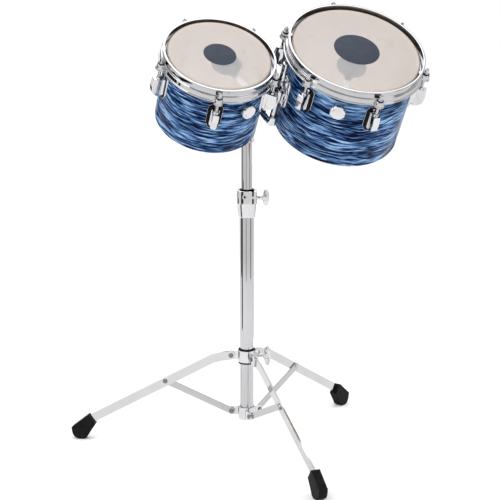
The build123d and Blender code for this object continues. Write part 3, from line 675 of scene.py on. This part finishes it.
def make_wing(node, hub, hub_length, span, height, shank):
    """A cast wing bolt along its joint's axis: shank, hub, and one rounded paddle across the hub."""
    joint = node.replace("_wing", "") + "_turn"
    axis = joint_axis(joint)
    upright = AXIS if abs(axis.z) > 0.1 or "bracket" in joint else Vector((0, 0, 1))
    place = place_of(joint_place(joint), axis, axis.cross(upright).cross(axis))
    bm = bmesh.new()
    turned = [(0, -shank), (3.5, -shank), (4.0, 0.6 - shank), (4.0, 0.2), (hub - 0.6, 0.1), (hub, 0.7),
              (hub * 0.95, hub_length - 1.6), (hub * 0.8, hub_length - 0.3), (hub * 0.5, hub_length),
              (0, hub_length)]
    add_lathe_turned(bm, turned, 40, Matrix.Rotation(pi / 2, 4, "Y"), closed=False)
    half = [(0.97, 0.2, 2), (0.76, 0.5, 3.0), (0.32, 0.49, 3.0), (0.14, 0.26, 3)]
    upper = [(height * x, span * z, radius) for x, z, radius in half]
    lower = [(x, -z, radius) for x, z, radius in reversed(upper)]
    outline = rounded(lower + upper, 3, 4)
    rings = []
    for inset, y in ((1.5, -0.5), (0.6, -0.43), (0, -0.26), (0, 0.26), (0.6, 0.43), (1.5, 0.5)):
        rings.append([(x, y * BLADE_T, z) for x, z in offset_outline(outline, inset)])
    add_rings(bm, rings)
    piece = finish_mesh(f"cast_{node}", bm, place, 45)
    return dress(piece, CHROME, node, "chrome", node)


def make_bracket(size, drum):
    """The shell bracket: a base plate, a barrel round the rod on two webs, and the bolt's boss."""
    r, mid = drum["r"], drum["grip"]
    rod_x = r + ROD_OFF
    turn = about_z(drum["bracket"])
    bm = bmesh.new()
    plate = rounded([(-16, mid - 39), (16, mid - 39), (16, mid + 27), (-16, mid + 27)], 8, 6)
    radial_plate(bm, plate, [(0, r - 1.5), (0, r + 1.9), (0.4, r + 2.8), (1.4, r + 3.2)], turn)
    low, high = mid - 23, mid + 23
    barrel = [(6.41, low + 0.6), (7.4, low), (10.2, low), (11, low + 0.9), (11, high - 0.9), (10.2, high),
              (7.4, high), (6.41, high - 0.6)]
    add_lathe_turned(bm, barrel, 64, turn @ Matrix.Translation((rod_x, 0, 0)))
    for y in (-7.2, 7.2):
        web = [(r - 1, -2.6 + y), (rod_x - 4, -2.6 + y), (rod_x - 4, 2.6 + y), (r - 1, 2.6 + y)]
        levels = [(0.8, low), (0.2, low + 0.3), (0, low + 0.9), (0, high - 0.9), (0.2, high - 0.3), (0.8, high)]
        spare = bmesh.new()
        add_stack(spare, rounded(web, 0.8, 2), levels)
        join_into(bm, spare, turn)
    boss = [(4.1, 0.5), (7.2, 0.5), (7.5, 1.0), (7.5, 16.2), (7.0, 17), (4.6, 17), (4.1, 16.6)]
    across = turn @ Matrix.Translation((rod_x, 0, mid + 10)) @ Matrix.Rotation(-pi / 2, 4, "X")
    add_lathe_turned(bm, boss, 40, across)
    piece = finish_mesh(f"rod_grip_{size}", bm, drum["place"], 35)
    return dress(piece, CHROME, f"drum_{size}", "chrome", f"bracket_{size}")


# ---------------------------------------------------------------- stand
def make_tube(node, body, r, wall):
    """A drawn tube with broken edges, between the levels of its CAD node."""
    low, high = (v.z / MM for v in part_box(node))
    bm = bmesh.new()
    add_lathe(bm, rounded([(r - wall, low), (r, low), (r, high), (r - wall, high)], 0.5, 3), 96)
    piece = finish_mesh(f"{node}_drawn", bm, STAND)
    return dress(piece, TUBE_CHROME, body, "chrome", node)


def make_clamp():
    """The height clamp: a slotted block over a turned skirt with two gusset ribs, as one casting."""
    low, high = (v.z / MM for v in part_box("height_clamp"))
    block, slot, bore = high - CLAMP_BLOCK_H, (11.2, 14.2), 14.3
    outer = rounded([(slot[1], -24, 0.3), (21, -24, 9), (21, 20, 9), (-20, 20, 9), (-20, -24, 9),
                     (slot[0], -24, 0.3), (slot[0], -12, 0)], 9, 6)[:-1]
    first, last = (math.atan2(-math.sqrt(bore ** 2 - x ** 2), x) for x in slot)
    steps = 40
    angles = [first + (last - 2 * pi - first) * k / steps for k in range(steps + 1)]
    hole = [(bore * cos(angle), bore * sin(angle)) for angle in angles]
    bm = bmesh.new()
    levels = [(0.5, block), (0, block + 0.5), (0, high - 1.5), (0.45, high - 0.45), (1.2, high)]
    add_stack(bm, outer + hole, levels)
    skirt = [(bore + 0.05, low + 0.4), (15.4, low), (16.6, low + 1.0), (17.2, low + 3.5), (18.3, low + 16),
             (19.0, low + 27), (19.6, block - 0.2), (20.2, block + 1.5), (bore + 0.05, block + 1.5)]
    add_lathe(bm, skirt, 96)
    for way in (-1, 1):
        gusset = rounded([(0.6 * way, block - 6.5), (3.4 * way, block - 6.5), (9.0 * way, low + 5),
                          (5.6 * way, low + 5)], 0.8, 2)
        rings = [[(x * share, -math.sqrt(max(0.0, (17.3 + 0.075 * (z - low - 3.5) + rise) ** 2 - x * x)), z)
                  for x, z in gusset] for share, rise in ((1, -1), (1, 0.5), (0.96, 0.9))]
        add_rings(bm, rings)
    return dress(finish_mesh("clamp_casting", bm, STAND, 30), CHROME, "stand", "chrome", "height_clamp")


def make_clamp_screw():
    """A socket-headed screw in the clamp's front face."""
    low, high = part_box("clamp_screw")
    face = Vector(((low.x + high.x) / 2, low.y, (low.z + high.z) / 2))
    place = place_of(face, Vector((1, 0, 0)), Vector((0, -1, 0)))
    bm = bmesh.new()
    add_lathe(bm, [(0, -5.9), (2.9, -5.9), (2.9, -2.4), (4.6, -2.4), (5.0, -1.9), (5.0, -0.7), (4.4, 0),
                   (3.1, 0), (2.6, -0.4), (2.6, -1.7), (0, -1.7)], 40, closed=False)
    dress(finish_mesh("socket_screw", bm, place), CHROME, "stand", "black_screw", "clamp_screw")
    bm = bmesh.new()
    add_lathe(bm, [(0, -1.68), (2.55, -1.68), (2.55, -1.2), (0, -1.2)], 6, closed=False)
    dress(finish_mesh("socket_shadow", bm, place), BLACK, "stand", "black_screw", "clamp_screw")


def make_bush():
    """The nylon bush in the height clamp, with its collar on top."""
    low, high = (v.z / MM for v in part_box("clamp_bush"))
    bm = bmesh.new()
    add_lathe(bm, rounded([(11.17, low), (13.15, low), (13.15, high - 1.2), (14.1, high - 1.2), (14.1, high),
                           (11.17, high)], 0.4, 2), 72)
    return dress(finish_mesh("bush_sleeve", bm, STAND), BLACK, "stand", "bush_nylon", "clamp_bush")


for size, drum in DRUMS.items():
    make_wrap(size, drum)
    make_head(size, drum)
    make_hoop(size, drum)
    make_lugs(size, drum)
    make_tension(size, drum)
    make_knob(size, drum)
    make_damper(size, drum)
    make_bracket(size, drum)
    make_wing(f"bracket_wing_bolt_{size}", 6.0, 9.0, 28, 14, 14.8)
    plywood = ply_material(f"shell plywood {size}", drum["place"])
    remake(f"shell_{size}", plywood, f"drum_{size}", "shell_ply", 0.5)
    remake(f"rod_{size}", CHROME, "carrier", "chrome", 0.4)
    remake(f"shell_screws_{size}", STEEL, f"drum_{size}", "plated_steel", 0.6)
    remake(f"damper_arm_{size}", STEEL, f"damper_{size}", "plated_steel", 0.4)

make_tube("lower_tube", "stand", 14.3, 1.6)
make_tube("upper_tube", "upper_tube", 11.1, 1.6)
make_clamp()
make_clamp_screw()
make_bush()
remake("collar_bush", BLACK, "leg_collar", "bush_nylon", 0.4)
make_wing("collar_wing_bolt", 6.5, 10.5, 41, 16, 18.6)
make_wing("height_wing_bolt", 6.5, 10, 33, 15, 29)
make_wing("tilt_wing_bolt", 6.5, 10, 36, 15, 30.5)
remake("stay_collar", CHROME, "stand", "chrome", 0.7)
remake("leg_collar", CHROME, "leg_collar", "chrome", 0.7)
remake("holder_base", CHROME, "holder_base", "chrome", 1.0)
remake("carrier", CHROME, "carrier", "chrome", 1.2)
remake("leg_pins", RIVET, "leg_collar", "chrome", 0.3)
remake("stay_pins", RIVET, "stand", "chrome", 0.3)
for i in (1, 2, 3):
    remake(f"leg_{i}", LEG_CHROME, f"leg_{i}", "chrome", 0.9, 3)
    remake(f"leg_fork_{i}", LEG_CHROME, f"leg_{i}", "chrome", 0.6)
    remake(f"knee_rivet_{i}", RIVET, f"leg_{i}", "chrome", 0.4)
    remake(f"stay_{i}", STAY_CHROME, f"stay_{i}", "chrome", 0.7, 3)
    remake(f"foot_{i}", RUBBER, f"leg_{i}", "foot_rubber", 1.2, 3)

# ---------------------------------------------------------------- studio
FLOOR = Nodes("studio floor", Roughness=0.85, Specular_IOR_Level=0.1)
FLOOR_TONES = [(0.3, (0.965, 0.965, 0.965)), (0.7, (0.98, 0.98, 0.98))]
FLOOR.link(FLOOR.ramp(FLOOR.noise(FLOOR.coords(), 1.2, 3), FLOOR_TONES), "Base Color")
bpy.ops.mesh.primitive_plane_add(size=60, location=(0, 0, -0.0004))
floor = bpy.context.object
floor.name = "floor"
floor.data.materials.append(FLOOR.material)

world = bpy.data.worlds.new("studio")
bpy.context.scene.world = world
world.use_nodes = True
tree = world.node_tree
background = tree.nodes["Background"]
background.inputs["Color"].default_value = (1, 1, 1, 1)
background.inputs["Strength"].default_value = 1.04


def area(name, location, target, width, height, power):
    """A rectangular area light aimed at target."""
    light = bpy.data.objects.new(name, bpy.data.lights.new(name, "AREA"))
    light.data.shape = "RECTANGLE"
    light.data.size, light.data.size_y = width, height
    light.data.energy = power
    light.location = location
    light.rotation_euler = (Vector(target) - Vector(location)).to_track_quat("-Z", "Y").to_euler()
    bpy.context.scene.collection.objects.link(light)


area("key", (-1.4, -1.6, 2.6), (0, 0, 0.7), 1.3, 1.3, 22)
area("fill", (2.0, -1.4, 1.7), (0, 0, 0.5), 1.0, 1.6, 7)
area("top", (0.1, 0.4, 2.9), (0, 0, 0.6), 1.8, 1.4, 16)

BLACK_CARD = Nodes("studio card", Roughness=1.0)
BLACK_CARD.shader.inputs["Base Color"].default_value = (0.004, 0.004, 0.004, 1)


def card(name, azimuth, distance, width, low, high):
    """An upright black card that only mirrors show; azimuth 0 is the camera's side."""
    a = radians(azimuth)
    at = Vector((sin(a), -cos(a), 0)) * distance
    along = Vector((cos(a), sin(a), 0)) * width / 2
    mesh = bpy.data.meshes.new(name)
    mesh.from_pydata([at - along + Vector((0, 0, low)), at + along + Vector((0, 0, low)),
                      at + along + Vector((0, 0, high)), at - along + Vector((0, 0, high))], [], [(0, 1, 2, 3)])
    mesh.materials.append(BLACK_CARD.material)
    item = bpy.data.objects.new(name, mesh)
    bpy.context.scene.collection.objects.link(item)
    item.visible_camera = item.visible_diffuse = item.visible_shadow = item.visible_transmission = False


card("card_front", -8, 2.4, 0.28, 0, 2.4)
card("card_left", -95, 2.2, 0.9, 0, 2.0)
card("card_back_left", -150, 2.2, 0.6, 0, 2.0)
card("card_right", 70, 2.3, 0.5, 0, 1.6)
card("card_low_left", -78, 0.85, 0.30, 0, 0.5)
card("card_low_back", 150, 0.85, 0.30, 0, 0.5)

bpy.context.view_layer.update()
